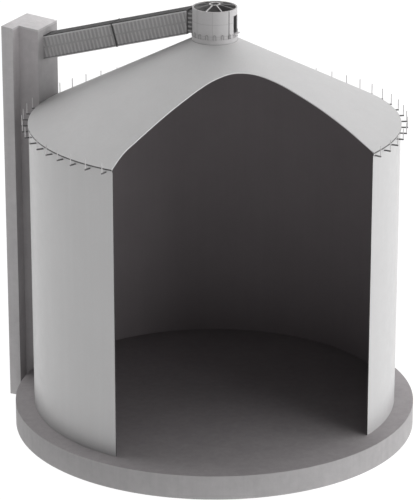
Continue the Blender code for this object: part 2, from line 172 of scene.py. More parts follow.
# Top house: drum, door and sill
DRUM_RADIUS = 1.2
DRUM_WALL = 0.05
DRUM_STEPS = 192
DRUM_QUARTERS = 4
DRUM_RIM_HEIGHT = SLAB_HEIGHT + 22.278
BASE_RING_RADIUS = 1.225
BASE_RING_TOP = SLAB_HEIGHT + 20.76
MOUTH_BOTTOM = SLAB_HEIGHT + 20.92
# The drum's panel between these bearings faces the lights on the right and is painted lighter, as painted
# light
LIT_PANEL_START = -63.0
LIT_PANEL_SWEEP = 60.0
DOOR_BEARING = -32.3
DOOR_HALF_ANGLE = 15.0
DOOR_WIDTH = 0.56
DOOR_BOTTOM = SLAB_HEIGHT + 20.94
DOOR_TOP = SLAB_HEIGHT + 21.92
SILL_ROOT = 0.02
SILL_REACH = 0.12
SILL_OVERLAP = 0.03
SILL_THICKNESS = 0.06
SILL_DROP = 0.002

# Top house: seams, one of them dark and wide, ring joints, and a dark ring round the foot as painted
# contact shade
SEAM_COUNT = 8
SEAM_PHASE = -108.0
SHARP_SEAM = 1
SEAM_HALF_WIDTH = 0.012
SHARP_SEAM_HALF_WIDTH = 0.024
SEAM_RAISE = 0.004
SEAM_END_GAP = 0.01
RING_JOINT_HEIGHTS = (SLAB_HEIGHT + 21.573, BASE_RING_TOP + 0.17)
RING_JOINT_STEPS = 160
FOOT_SHADE_HALF_HEIGHT = 0.02
FOOT_SHADE_FOOT_WIDTH = 0.025
FOOT_SHADE_TOP_WIDTH = 0.012

# Anchor hoops round the foot of the top house
HOOP_PITCH = 20.0
HOOP_FOOT = BASE_RING_TOP - 0.02
HOOP_HEIGHT = 0.27
LOW_HOOP_HEIGHT = 0.125
HOOP_HALF_WIDTH = 0.07
HOOP_RADIUS = DRUM_RADIUS + 0.028
HOOP_BAR_RADIUS = 0.010
HOOP_BEND_STEPS = 8
HOOP_BAR_SIDES = 6

# Open frame on the top house: rim, spokes and a raised hub
RIM_CLEARANCE = 0.0008
RIM_DEPTH = 0.05
RIM_WIDTH = 0.025
RIM_STEPS = 128
HUB_RADIUS = 0.27
HUB_HALF_WIDTH = 0.04
HUB_DEPTH = 0.025
HUB_HEIGHT_ABOVE_RIM = 0.16
HUB_STEPS = 64
SPOKE_BAR = 0.05
SPOKE_DROP = 0.003
SPOKE_COUNT = 8
SPOKE_PHASE = -82.0
LIGHT_SPOKES = (0, 7)

# Concrete: joints between lifts, and painted shade that deepens or lifts as (where it starts, where it is
# full, its share)
LIFT_HEIGHT = 1.25
LIFT_JOINT_SHARE = 0.012
LIFT_JOINT_TONE = 0.965
SLAB_INSIDE_SHADE = (-8.0, 2.0, 0.30)
# Painted shade on the tower lifts towards its head, and above the gallery on the face towards the silo
HEAD_LIGHTENING = (13.5, 20.5, 0.36)
LIGHTER_ABOVE_GALLERY = (19.0, 20.6, 0.27)
CONCRETE_PATCHES = 0.03
CONCRETE_GRAIN = 0.05
CONCRETE_RUNS = 0.03
CONCRETE_PORES = (0.03, 0.09)
CONCRETE_RAIN = (3.0, 3.0, 0.09)
CONCRETE_ROUGHNESS = (0.77, 0.93)
CONCRETE_SPECULAR = 0.25

# Paint: the stretch of its rain streaks, how far wear polishes or dulls it, and its tone under dust
PAINT_RAIN = (2.2, 2.2, 0.07)
PAINT_POLISH = 0.07
PAINT_DULLING = 0.09
PAINT_DUSTED_TONE = 0.97
TINT_BLUE_SHARE = 0.4

# Stretches of a noise that a tone or a roughness is spread over
WIDE = (0.28, 0.72)
MIDDLE = (0.3, 0.7)
NARROW = (0.35, 0.65)
LOWER = (0.25, 0.6)

# Camera
CAMERA_LENS = 203.87
CAMERA_SENSOR = 36.0
CAMERA_CLIP_END = 2000.0
CAMERA_LOCATION = (-30.330, -142.493, 62.453)
CAMERA_ROTATION = (math.pi / 2.0 - 0.3464, 0.0, -0.2069)

# Floor
FLOOR_REACH = 700.0
FLOOR_DROP = 0.002
FLOOR_TONE = 0.10
FLOOR_SHADED_TONE = 0.985
FLOOR_ROUGHNESS = 0.9
FLOOR_SPECULAR = 0.1
FLOOR_GLOW = 0.98

# Lights: (name, bearing, height angle, strength)
WHITE = (1.0, 1.0, 1.0, 1.0)
SKY_STRENGTH = 0.15
SOFT_LIGHT_SPREAD = 50.0
SOFT_LIGHTS = (
    ("low_right", 0.0, 9.0, 1.67),
    ("low_front_right", -45.0, 9.0, 1.27),
    ("high_back_right", 45.0, 45.0, 0.55),
    ("high_back", 90.0, 45.0, 0.69),
    ("high_back_left", 135.0, 45.0, 0.80),
)


class Graph:
    """Short calls for a material's nodes and links."""

    def __init__(self, name):
        self.material = bpy.data.materials.new(name)
        self.material.use_nodes = True
        self.tree = self.material.node_tree
        self.shader = self.tree.nodes["Principled BSDF"]
        self.where = self.add("ShaderNodeTexCoord").outputs["Object"]

    def add(self, kind, **settings):
        node = self.tree.nodes.new(kind)
        for key, value in settings.items():
            setattr(node, key, value)
        return node

    def set(self, socket, value):
        if isinstance(value, bpy.types.NodeSocket):
            self.tree.links.new(value, socket)
        else:
            socket.default_value = value

    def axis(self, letter):
        """One of the object coordinates, in metres."""
        node = self.add("ShaderNodeSeparateXYZ")
        self.set(node.inputs["Vector"], self.where)
        return node.outputs[letter]

    def stretched(self, scale):
        """Object coordinates scaled by axis, for streaks."""
        node = self.add("ShaderNodeMapping")
        self.set(node.inputs["Vector"], self.where)
        node.inputs["Scale"].default_value = scale
        return node.outputs["Vector"]

    def noise(self, scale, detail, roughness, where=None):
        node = self.add("ShaderNodeTexNoise")
        self.set(node.inputs["Vector"], where or self.where)
        node.inputs["Scale"].default_value = scale
        node.inputs["Detail"].default_value = detail
        node.inputs["Roughness"].default_value = roughness
        return node.outputs["Fac"]

    def spots(self, scale):
        """Distance to the nearest of many scattered points."""
        node = self.add("ShaderNodeTexVoronoi")
        self.set(node.inputs["Vector"], self.where)
        node.inputs["Scale"].default_value = scale
        return node.outputs["Distance"]

    def combine(self, operation, first, second=None):
        node = self.add("ShaderNodeMath", operation=operation)
        self.set(node.inputs[0], first)
        if second is not None:
            self.set(node.inputs[1], second)
        return node.outputs["Value"]

    def product(self, first, *others):
        for other in others:
            first = self.combine("MULTIPLY", first, other)
        return first

    def spread(self, value, span, start=0.0, end=1.0, smooth=False):
        """Map a value's span onto the range from start to end, clamped."""
        node = self.add("ShaderNodeMapRange")
        if smooth:
            node.interpolation_type = "SMOOTHSTEP"
        self.set(node.inputs["Value"], value)
        for socket, number in zip(node.inputs[1:5], (*span, start, end)):
            socket.default_value = number
        return node.outputs["Result"]

    def vary(self, value, span, share):
        """A factor that strays from one by up to a share either way."""
        return self.spread(value, span, 1.0 - share, 1.0 + share)

    def shade(self, colour, amount):
        """A colour darkened or lightened by a factor near one."""
        node = self.add("ShaderNodeMix", data_type="RGBA", blend_type="MULTIPLY")
        node.inputs["Factor"].default_value = 1.0
        self.set(node.inputs["A"], colour)
        self.set(node.inputs["B"], amount)
        return node.outputs["Result"]

    def bump(self, height, distance, strength=1.0, under=None):
        node = self.add("ShaderNodeBump")
        self.set(node.inputs["Height"], height)
        node.inputs["Distance"].default_value = distance
        node.inputs["Strength"].default_value = strength
        if under is not None:
            self.set(node.inputs["Normal"], under)
        return node.outputs["Normal"]

    def finish(self, colour, roughness, normal, specular):
        self.set(self.shader.inputs["Base Color"], colour)
        self.set(self.shader.inputs["Roughness"], roughness)
        self.set(self.shader.inputs["Normal"], normal)
        self.shader.inputs["Specular IOR Level"].default_value = specular
        return self.material


def grey(value, tint=0.0):
    """Grey with a faint rose tint."""
    return (value * (1.0 + tint), value, value * (1.0 + TINT_BLUE_SHARE * tint), 1.0)


def painted_steel(name, value, mottle=0.05, streak=0.04, rough=0.5, specular=0.35, tint=0.02):
    """Sprayed paint on plate: faint clouds, rain streaks, specks of dust and an orange-peel skin."""
    g = Graph(name)
    clouds = g.vary(g.noise(scale=0.35, detail=5.0, roughness=0.6), MIDDLE, mottle)
    rain = g.stretched(PAINT_RAIN)
    runs = g.vary(g.noise(scale=1.0, detail=6.0, roughness=0.6, where=rain), NARROW, streak)
    dust = g.spread(g.noise(scale=9.0, detail=3.0, roughness=0.7), LOWER, PAINT_DUSTED_TONE, 1.0)
    colour = g.shade(grey(value, tint), g.product(clouds, runs, dust))
    worn = g.noise(scale=1.7, detail=5.0, roughness=0.65)
    wear = g.spread(worn, MIDDLE, rough - PAINT_POLISH, rough + PAINT_DULLING)
    skin = g.bump(g.noise(scale=26.0, detail=3.0, roughness=0.5), distance=0.0015)
    dents = g.noise(scale=0.8, detail=2.0, roughness=0.4)
    normal = g.bump(dents, distance=0.006, strength=0.6, under=skin)
    return g.finish(colour, wear, normal, specular)


def painted_shade_inside(g, low, high, share):
    """Factor of painted shade that darkens what lies inside the round wall, more and more between two Y
    positions, deepest towards the back.
    """
    x, y = g.axis("X"), g.axis("Y")
    away = g.combine("SQRT", g.combine("ADD", g.product(x, x), g.product(y, y)))
    inside = g.spread(away, (WALL_RADIUS, WALL_RADIUS - WALL_THICKNESS))
    shade_amount = g.spread(y, (low, high), 0.0, share, smooth=True)
    return g.combine("SUBTRACT", 1.0, g.product(inside, shade_amount))


def lightened_with_height(g, low, high, share):
    """Factor that lightens a wall, more and more between two heights, so that painted shade lifts towards
    the top.
    """
    return g.spread(g.axis("Z"), (low, high), 1.0, 1.0 + share)


def lift_joints(g):
    """Zero on the joints between the lifts of a cast wall, and one away from them."""
    lift = g.combine("FRACT", g.combine("DIVIDE", g.axis("Z"), LIFT_HEIGHT))
    from_joint = g.combine("ABSOLUTE", g.combine("SUBTRACT", lift, 0.5))
    return g.spread(from_joint, (0.0, LIFT_JOINT_SHARE))


def concrete(name, value, mottle=0.05, lifts=False, inside_shade=None, height_lightening=None, tint=0.03):
    """Cast concrete with grain and pores; lift joints, painted shade inside the round wall or a
    lightening with height that lifts painted shade, where set.
    """
    g = Graph(name)
    clouds = g.vary(g.noise(scale=0.55, detail=6.0, roughness=0.62), WIDE, mottle)
    patches = g.vary(g.noise(scale=2.6, detail=4.0, roughness=0.6), NARROW, CONCRETE_PATCHES)
    grain = g.vary(g.noise(scale=45.0, detail=3.0, roughness=0.7), MIDDLE, CONCRETE_GRAIN)
    rain = g.stretched(CONCRETE_RAIN)
    runs = g.vary(g.noise(scale=1.0, detail=6.0, roughness=0.6, where=rain), NARROW, CONCRETE_RUNS)
    tone = g.product(clouds, patches, grain, runs)
    pores = g.spread(g.spots(scale=14.0), CONCRETE_PORES)
    normal = g.bump(g.noise(scale=45.0, detail=4.0, roughness=0.7), distance=0.0025)
    normal = g.bump(pores, distance=0.003, strength=0.7, under=normal)
    # Painted shade: darker inside the round wall, towards the back
    if inside_shade:
        tone = g.product(tone, painted_shade_inside(g, *inside_shade))
    # Painted shade that lifts with height: the wall is lighter towards the top
    if height_lightening:
        tone = g.product(tone, lightened_with_height(g, *height_lightening))
    if lifts:
        joints = lift_joints(g)
        tone = g.product(tone, g.spread(joints, (0.0, 1.0), LIFT_JOINT_TONE, 1.0))
        normal = g.bump(joints, distance=0.004, strength=0.8, under=normal)
    wear = g.spread(g.noise(scale=3.0, detail=4.0, roughness=0.6), MIDDLE, *CONCRETE_ROUGHNESS)
    return g.finish(g.shade(grey(value, tint), tone), wear, normal, CONCRETE_SPECULAR)


SLAB_LOOK = concrete("slab_concrete_look", 0.39)
# The slab's top: a slightly darker copy of its concrete as painted shade, with more painted shade inside
# the round wall towards the back
SLAB_TOP_LOOK = concrete("slab_top_look", 0.37, inside_shade=SLAB_INSIDE_SHADE, tint=0.06)
TOWER_LOOK = concrete("tower_concrete_look", 0.50, mottle=0.04, lifts=True)
# The recess's faces: a dark copy of the tower's concrete as painted shade from the silo and the wing,
# lighter towards the tower's head
TOWER_RECESS_SHADE_LOOK = concrete(
    "tower_recess_shade_look", 0.31, mottle=0.06, lifts=True, height_lightening=HEAD_LIGHTENING, tint=0.05
)
# The face towards the silo: a darker copy of the tower's concrete as painted shade, lighter above the
# gallery where the painted shade lifts
TOWER_SILO_SIDE_SHADE_LOOK = concrete("tower_silo_side_shade_look", 0.33, lifts=True, height_lightening=LIGHTER_ABOVE_GALLERY)
# A lighter copy of the tower's concrete for the cap's top, as painted light
TOWER_CAP_LIT_LOOK = concrete("tower_cap_lit_look", 0.71, mottle=0.03)
SHELL_LOOK = painted_steel(
    "shell_paint_look", 0.515, mottle=0.015, streak=0.01, rough=0.38, specular=0.7, tint=0.01
)
SHELL_INNER_LOOK = painted_steel(
    "shell_inner_look", 0.262, mottle=0.04, streak=0.015, rough=0.7, specular=0.2, tint=0.09
)
ROOF_LOOK = painted_steel("roof_paint_look", 0.65, mottle=0.02, streak=0.01, tint=0.01)
ROOF_INNER_LOOK = painted_steel(
    "roof_inner_look", 0.255, mottle=0.04, streak=0.01, rough=0.7, specular=0.2, tint=0.09
)
EAVE_LOOK = painted_steel("eave_steel_look", 0.07, mottle=0.10, streak=0.02)
ARM_LOOK = painted_steel("bracket_arm_look", 0.11, mottle=0.10, streak=0.02)
POST_LOOK = painted_steel("post_steel_look", 0.60, mottle=0.08, streak=0.02)
CUT_LOOK = painted_steel("cut_edge_look", 0.06, mottle=0.08, streak=0.01, rough=0.6)
NECK_LOOK = painted_steel("neck_sheet_look", 0.15, mottle=0.06)
SLAT_LOOK = painted_steel("neck_slat_look", 0.40, mottle=0.06)
GALLERY_LOOK = painted_steel("gallery_sheet_look", 0.475)
# A darker copy of the gallery's sheet paint for its recessed faces, as painted shade
GALLERY_TROUGH_SHADE_LOOK = painted_steel("gallery_trough_shade_look", 0.37)
GALLERY_EDGE_LOOK = painted_steel("gallery_edge_look", 0.60)
GALLERY_FOOT_LOOK = painted_steel("gallery_foot_look", 0.20)
GALLERY_ROOF_LOOK = painted_steel("gallery_roof_look", 0.055, mottle=0.10)
GALLERY_JOINT_LOOK = painted_steel("trim_steel_look", 0.07, mottle=0.12)
DRUM_LOOK = painted_steel("drum_paint_look", 0.49, mottle=0.03, streak=0.02)
# A lighter copy of the drum's paint, as painted light
DRUM_LIT_PANEL_LOOK = painted_steel("drum_lit_panel_look", 0.54, mottle=0.03, streak=0.02)
DRUM_JOINT_LOOK = painted_steel("drum_joint_look", 0.40, mottle=0.03)
# Darker paint for the ring round the drum's foot, as painted contact shade
DRUM_FOOT_SHADE_LOOK = painted_steel("drum_foot_shade_look", 0.36)
DRUM_SEAM_LOOK = painted_steel("drum_seam_look", 0.07, mottle=0.06)
DRUM_INNER_LOOK = painted_steel("drum_inner_look", 0.26, mottle=0.06, rough=0.7)
SPOKE_LOOK = painted_steel("spoke_paint_look", 0.62)
SPOKE_FAR_LOOK = painted_steel("spoke_grey_look", 0.29, mottle=0.06)
HOOP_LOOK = painted_steel("hoop_steel_look", 0.22, mottle=0.08)


def finish_mesh(name, bm, looks):
    """The mesh with its looks, smooth apart from its sharp edges."""
    bmesh.ops.recalc_face_normals(bm, faces=bm.faces)
    mesh = bpy.data.meshes.new(name)
    bm.to_mesh(mesh)
    bm.free()
    for look in looks:
        mesh.materials.append(look)
    mesh.shade_smooth()
    mesh.set_sharp_from_angle(angle=math.radians(SHARP_ANGLE))
    return mesh


def piece(name, bm, looks, nodes=()):
    """Add a finished piece of the object, which stands for the named solids."""
    obj = bpy.data.objects.new(name, finish_mesh(name, bm, looks))
    bpy.context.scene.collection.objects.link(obj)
    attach(obj, "root")
    if nodes:
        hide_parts(*nodes)


def dress(node, look):
    """Give a solid that stays as it is its finish."""
    for place in NODES[node].material_slots:
        place.material = look


def numbered(stem, count):
    """Names of a numbered set of solids."""
    return [f"{stem}_{i + 1}" for i in range(count)]


def apart(bearing, other):
    """Angle between two bearings."""
    return abs((bearing - other + 180.0) % 360.0 - 180.0)


def bearing_matrix(bearing):
    return Matrix.Rotation(math.radians(bearing), 4, "Z")


def turn_to(bm, bearing):
    """Turn a mesh about the silo's axis to a bearing."""
    bmesh.ops.transform(bm, matrix=bearing_matrix(bearing), verts=bm.verts)


def lean(bm, rise):
    """Shear so that height changes by rise for each metre along X."""
    matrix = Matrix.Identity(4)
    matrix[2][0] = rise
    bmesh.ops.transform(bm, matrix=matrix, verts=bm.verts)
    return bm


def join(bm, other):
    """Move another mesh's faces into a mesh."""
    mesh = bpy.data.meshes.new("joining")
    other.to_mesh(mesh)
    other.free()
    bm.from_mesh(mesh)
    bpy.data.meshes.remove(mesh)


def round_edges(bm, edges, offset, profile=BEVEL_PROFILE):
    """Bevel edges to a slight round, and give what the bevel made."""
    return bmesh.ops.bevel(
        bm, geom=list(edges), offset=offset, segments=BEVEL_STEPS, profile=profile, affect="EDGES"
    )


def ring_profile(inner, outer, low, high):
    """Rectangular (radius, height) outline."""
    return ((inner, low), (outer, low), (outer, high), (inner, high))


def turned(bm, profile, steps, start=0.0, end=360.0):
    """Add a turned sector between two bearings, from a closed (radius, height) outline."""
    a = math.radians(start)
    ring = [bm.verts.new((r * math.cos(a), r * math.sin(a), z)) for r, z in profile]
    edges = [bm.edges.new((ring[i - 1], ring[i])) for i in range(len(ring))]
    full = math.isclose(end - start, 360.0)
    bmesh.ops.spin(
        bm,
        geom=ring + edges if full else [bm.faces.new(ring), *edges, *ring],
        cent=(0.0, 0.0, 0.0),
        axis=(0.0, 0.0, 1.0),
        angle=math.radians(end - start),
        steps=steps,
        use_merge=full,
    )
    return bm


def add_box(bm, low, high, place=None, bevel=0.0, look=0):
    """Add a box, with its edges bevelled where that is set."""
    low, high = Vector(low), Vector(high)
    fit = Matrix.Translation((low + high) / 2.0) @ Matrix.Diagonal((*(high - low), 1.0))
    made = bmesh.ops.create_cube(bm, size=1.0, matrix=fit)["verts"]
    faces = {face for vert in made for face in vert.link_faces}
    if bevel:
        edges = {edge for vert in made for edge in vert.link_edges}
        cut = round_edges(bm, edges, bevel, BOX_BEVEL_PROFILE)["verts"]
        faces = {face for face in faces if face.is_valid}
        faces |= {face for vert in cut for face in vert.link_faces}
    for face in faces:
        face.material_index = look
    if place is not None:
        verts = {vert for face in faces for vert in face.verts}
        bmesh.ops.transform(bm, matrix=place, verts=list(verts))
    return bm


def box_mesh(low, high, place=None):
    return add_box(bmesh.new(), low, high, place)


def add_round(bm, radius, low, high, sides, rim, place=None):
    """Add an upright round bar with its top rim bevelled."""
    fit = Matrix.Translation((0.0, 0.0, (low + high) / 2.0))
    if place is not None:
        fit = place @ fit
    made = bmesh.ops.create_cone(
        bm,
        cap_ends=True,
        segments=sides,
        radius1=radius,
        radius2=radius,
        depth=high - low,
        matrix=fit,
    )["verts"]
    top = {vert for vert in made if vert.co.z > high - GAP}
    round_edges(bm, {edge for vert in top for edge in vert.link_edges if set(edge.verts) <= top}, rim)


def extruded(points, low, high):
    """Upright prism over a plan outline."""
    bm = bmesh.new()
    face = bm.faces.new([bm.verts.new((x, y, low)) for x, y in points])
    made = bmesh.ops.extrude_face_region(bm, geom=[face])["geom"]
    top = [item for item in made if isinstance(item, bmesh.types.BMVert)]
    bmesh.ops.translate(bm, verts=top, vec=(0.0, 0.0, high - low))
    return bm


def trim(bm, point, normal, walled=False):
    """Cut away what lies on the normal's side of a plane, and close the cut, a ring where walled."""
    geometry = [*bm.verts, *bm.edges, *bm.faces]
    result = bmesh.ops.bisect_plane(
        bm, geom=geometry, plane_co=point, plane_no=normal, clear_outer=True, dist=CUT_TOLERANCE
    )
    rim = [item for item in result["geom_cut"] if isinstance(item, bmesh.types.BMEdge)]
    if walled:
        bmesh.ops.triangle_fill(bm, edges=rim, use_beauty=True, normal=normal)
    else:
        bmesh.ops.holes_fill(bm, edges=rim, sides=0)


def held(name, bm):
    """A plain object that holds a mesh while it is worked on."""
    bmesh.ops.recalc_face_normals(bm, faces=bm.faces)
    mesh = bpy.data.meshes.new(name)
    bm.to_mesh(mesh)
    bm.free()
    obj = bpy.data.objects.new(name, mesh)
    bpy.context.scene.collection.objects.link(obj)
    return obj


def evaluated_mesh(obj):
    """A new mesh with an object's shape after its modifiers or its curve."""
    bpy.context.view_layer.update()
    graph = bpy.context.evaluated_depsgraph_get()
    bm = bmesh.new()
    bm.from_mesh(obj.evaluated_get(graph).to_mesh())
    return bm


def carved(bm, *others):
    """The mesh with the other meshes cut out of it."""
    body = held("carving", bm)
    cutters = [held(f"cutter_{i}", other) for i, other in enumerate(others)]
    for cutter in cutters:
        modifier = body.modifiers.new(cutter.name, "BOOLEAN")
        modifier.object = cutter
        modifier.operation = "DIFFERENCE"
        modifier.solver = "EXACT"
    result = evaluated_mesh(body)
    for obj in [body, *cutters]:
        mesh = obj.data
        bpy.data.objects.remove(obj, do_unlink=True)
        bpy.data.meshes.remove(mesh)
    return result


def make_slab():
    slab = bmesh.new()
    add_round(slab, SLAB_RADIUS, 0.0, SLAB_HEIGHT, SLAB_SIDES, SLAB_CHAMFER)
    low = (TOWER_FACE - GAP, -TOWER_WIDTH / 2.0 - GAP, -OVERSHOOT)
    high = (SLAB_RADIUS + OVERSHOOT, TOWER_WIDTH / 2.0 + GAP, SLAB_HEIGHT + OVERSHOOT)
    slab = carved(slab, box_mesh(low, high, bearing_matrix(TOWER_BEARING)))
    for face in slab.faces:
        # Top faces take the slab top's look, which carries painted shade
        face.material_index = int(face.normal.z > FACING)
    piece("slab_body", slab, [SLAB_LOOK, SLAB_TOP_LOOK], ["foundation_slab"])


def roof_top(radius):
    return APEX_HEIGHT - ROOF_SLOPE * radius


def roof_underside(radius):
    return roof_top(radius) - ROOF_THICKNESS * math.hypot(1.0, ROOF_SLOPE)


def make_wall():
    inner = WALL_RADIUS - WALL_THICKNESS
    profile = ring_profile(inner, WALL_RADIUS, SLAB_HEIGHT + GAP, roof_underside(WALL_RADIUS) - GAP)
    wall = turned(bmesh.new(), profile, WALL_STEPS, FIRST_BEARING, LAST_BEARING)
    middle = (inner + WALL_RADIUS) / 2.0
    for face in wall.faces:
        place = face.calc_center_median()
        away = math.hypot(place.x, place.y)
        sideways = abs(face.normal.x * place.x + face.normal.y * place.y) < FACING * away
        if sideways and abs(face.normal.z) < FACING:
            face.material_index = 2
        elif away < middle - NEAR:
            face.material_index = 1
    looks = [SHELL_LOOK, SHELL_INNER_LOOK, CUT_LOOK]
    piece("wall_plates", wall, looks, numbered("shell_segment", WALL_SEGMENTS))


def roof_opening_outline():
    """Plan points round the opened part of the roof, the curved edge first, from its left corner."""
    corner = math.radians(OPENING_CORNER_ANGLE)
    right = Vector((math.sin(corner), -math.cos(corner))) * ROOF_EDGE_RADIUS
    left = Vector((-right.x, right.y))
    far_right, far_left = right * OPENING_REACH, left * OPENING_REACH
    front_right, front_left = (Vector((side.x, OPENING_FRONT)) for side in (far_right, far_left))
    curved = [Vector(place) for place in ROOF_OPENING]
    return [left, *curved, right, far_right, front_right, front_left, far_left]


def roof_opening_mesh():
    """Upright prism over the opened part of the roof."""
    curve = bpy.data.curves.new("roof_opening", "CURVE")
    curve.dimensions = "2D"
    curve.fill_mode = "BOTH"
    curve.resolution_u = OPENING_STEPS
    curve.extrude = OPENING_HALF_DEPTH
    points = roof_opening_outline()
    spline = curve.splines.new("BEZIER")
    spline.bezier_points.add(len(points) - 1)
    spline.use_cyclic_u = True
    for i, place in enumerate(points):
        knot = spline.bezier_points[i]
        knot.co = (place.x, place.y, 0.0)
        kind = "AUTO" if 0 < i <= len(ROOF_OPENING) else "VECTOR"
        knot.handle_left_type = kind
        knot.handle_right_type = kind
    flat = bpy.data.objects.new("roof_opening_outline", curve)
    flat.location.z = roof_top(ROOF_EDGE_RADIUS / 2.0)
    bpy.context.scene.collection.objects.link(flat)
    prism = evaluated_mesh(flat)
    bmesh.ops.transform(prism, matrix=flat.matrix_world, verts=prism.verts)
    bmesh.ops.remove_doubles(prism, verts=prism.verts, dist=GAP)
    bpy.data.objects.remove(flat, do_unlink=True)
    bpy.data.curves.remove(curve)
    return prism


def make_roof():
    profile = (
        (ROOF_INNER_RADIUS, roof_underside(ROOF_INNER_RADIUS)),
        (ROOF_EDGE_RADIUS, roof_underside(ROOF_EDGE_RADIUS)),
        (ROOF_EDGE_RADIUS, roof_top(ROOF_EDGE_RADIUS)),
        (ROOF_INNER_RADIUS, roof_top(ROOF_INNER_RADIUS)),
    )
    roof = carved(turned(bmesh.new(), profile, ROOF_STEPS), roof_opening_mesh())
    for face in roof.faces:
        place = face.calc_center_median()
        if face.normal.z < -FACING:
            face.material_index = 1
        elif math.hypot(place.x, place.y) > ROOF_EDGE_RADIUS - VERY_NEAR:
            face.material_index = 2
    nodes = [*numbered("roof_segment", ROOF_SEGMENTS), "roof_front_left", "roof_front_right"]
    piece("roof_plates", roof, [ROOF_LOOK, ROOF_INNER_LOOK, EAVE_LOOK], nodes)


def bracket_bearings():
    """Bearings of the brackets that the open front and the tower leave room for."""
    bearings = []
    for i in range(round(360.0 / BRACKET_PITCH)):
        bearing = BRACKET_PHASE + i * BRACKET_PITCH
        if apart(bearing, FRONT) < OPENING_HALF_ANGLE:
            continue
        from_tower = math.radians(bearing - TOWER_BEARING)
        aside = BRACKET_REACH * abs(math.sin(from_tower))
        if math.cos(from_tower) > 0.0 and aside < TOWER_WIDTH / 2.0 + BRACKET_CLEARANCE:
            continue
        bearings.append(bearing)
    return bearings


def make_eave():
    """The band, painted like the wall under its dark lip, and the ring of brackets."""
    high = roof_underside(EAVE_BAND_RADIUS) - GAP
    low, lip = high - EAVE_BAND_HEIGHT, high - EAVE_LIP_HEIGHT
    inner, outer = WALL_RADIUS + GAP, EAVE_BAND_RADIUS
    profile = ((inner, low), (outer, low), (outer, lip), (outer, high), (inner, high))
    band = turned(bmesh.new(), profile, WALL_STEPS, FIRST_BEARING, LAST_BEARING)
    for face in band.faces:
        face.material_index = int(face.calc_center_median().z < (low + lip) / 2.0 + GAP)
    nodes = numbered("eave_ring", EAVE_RINGS)
    piece("eave_band", band, [EAVE_LOOK, SHELL_LOOK], nodes)

    arms, posts, plates = bmesh.new(), bmesh.new(), bmesh.new()
    arm_low = (inner, -ARM_HALF_WIDTH, ARM_TOP - ARM_DEPTH)
    arm_high = (BRACKET_REACH, ARM_HALF_WIDTH, ARM_TOP)
    plate_low = (inner, -PLATE_HALF_WIDTH, ARM_TOP - ARM_DEPTH - PLATE_DROP)
    plate_high = (inner + PLATE_THICKNESS, PLATE_HALF_WIDTH, low - GAP)
    post_low, post_high = ARM_TOP - POST_ROOT, ARM_TOP + POST_HEIGHT
    to_post = Matrix.Translation((BRACKET_REACH - ARM_HALF_WIDTH, 0.0, 0.0))
    for bearing in bracket_bearings():
        turn = bearing_matrix(bearing)
        add_box(arms, arm_low, arm_high, turn, ARM_BEVEL)
        add_box(plates, plate_low, plate_high, turn, PLATE_BEVEL)
        add_round(posts, POST_RADIUS, post_low, post_high, POST_SIDES, POST_RIM, turn @ to_post)
    piece("bracket_arms", arms, [ARM_LOOK], nodes)
    piece("bracket_posts", posts, [POST_LOOK], nodes)
    piece("bracket_plates", plates, [SHELL_LOOK], nodes)


def tower_plan(inset=0.0):
    """The tower's L-shaped outline, drawn in by an inset."""
    near, far = TOWER_FACE + inset, TOWER_FACE + TOWER_DEPTH - inset
    right, left = inset - TOWER_WIDTH / 2.0, TOWER_WIDTH / 2.0 - inset
    wing_near, wing_end = WING_FACE + inset, TOWER_WIDTH / 2.0 + WING_WIDTH - inset
    return (
        (near, right), (far, right), (far, wing_end),
        (wing_near, wing_end), (wing_near, left), (near, left),
    )


def is_upright(edge):
    a, b = (vert.co for vert in edge.verts)
    return (a.xy - b.xy).length < GAP


def gallery_hollow():
    """Sloping box that opens the tower's wall to the gallery."""
    half = GALLERY_WIDTH / 2.0 - GALLERY_WALL
    low = (TOWER_FACE - OVERSHOOT, -half, GALLERY_TOP_ON_AXIS - GALLERY_HEIGHT + GALLERY_WALL)
    high = (TOWER_FACE + OVERSHOOT, half, GALLERY_TOP_ON_AXIS - GALLERY_WALL)
    return lean(box_mesh(low, high), -GALLERY_RISE)


def make_tower_shaft():
    top = TOWER_HEIGHT_AT_FACE + OVERSHOOT
    shaft = extruded(tower_plan(), 0.0, top)
    round_edges(shaft, [edge for edge in shaft.edges if is_upright(edge)], TOWER_BEVEL)
    shaft = carved(shaft, extruded(tower_plan(TOWER_WALL), -OVERSHOOT, top + OVERSHOOT), gallery_hollow())
    under_roof = Vector((TOWER_FACE, 0.0, TOWER_HEIGHT_AT_FACE - TOWER_ROOF_THICKNESS - GAP))
    trim(shaft, under_roof, Vector((-TOWER_ROOF_RISE, 0.0, 1.0)).normalized(), walled=True)
    # Painted shade: the recess's front face and the wing's side towards the silo take the dark recess
    # look, and the face towards the silo its own darker look
    for face in shaft.faces:
        place = face.calc_center_median()
        on_side = face.normal.y > FACING and abs(place.y - TOWER_WIDTH / 2.0) < NEAR
        to_silo = face.normal.x < -FACING
        if on_side or to_silo and abs(place.x - WING_FACE) < NEAR:
            face.material_index = 1
        elif to_silo and abs(place.x - TOWER_FACE) < NEAR:
            face.material_index = 2
    turn_to(shaft, TOWER_BEARING)
    looks = [TOWER_LOOK, TOWER_RECESS_SHADE_LOOK, TOWER_SILO_SIDE_SHADE_LOOK]
    walls = ["silo_side", "back", "outer", "wing_end", "wing_side", "front"]
    piece("tower_shaft", shaft, looks, [f"tower_{wall}_wall" for wall in walls])


def make_tower_cap():
    high = TOWER_HEIGHT_AT_FACE - TOWER_ROOF_RISE * TOWER_FACE
    cap = extruded(tower_plan(), high - TOWER_ROOF_THICKNESS, high)
    round_edges(cap, cap.edges, TOWER_BEVEL)
    lean(cap, TOWER_ROOF_RISE)
    for face in cap.faces:
        # Painted light: the cap's top faces take the lighter copy of the tower's concrete
        face.material_index = int(face.normal.z > FACING)
    turn_to(cap, TOWER_BEARING)
    piece("tower_cap", cap, [TOWER_LOOK, TOWER_CAP_LIT_LOOK], ["tower_roof"])


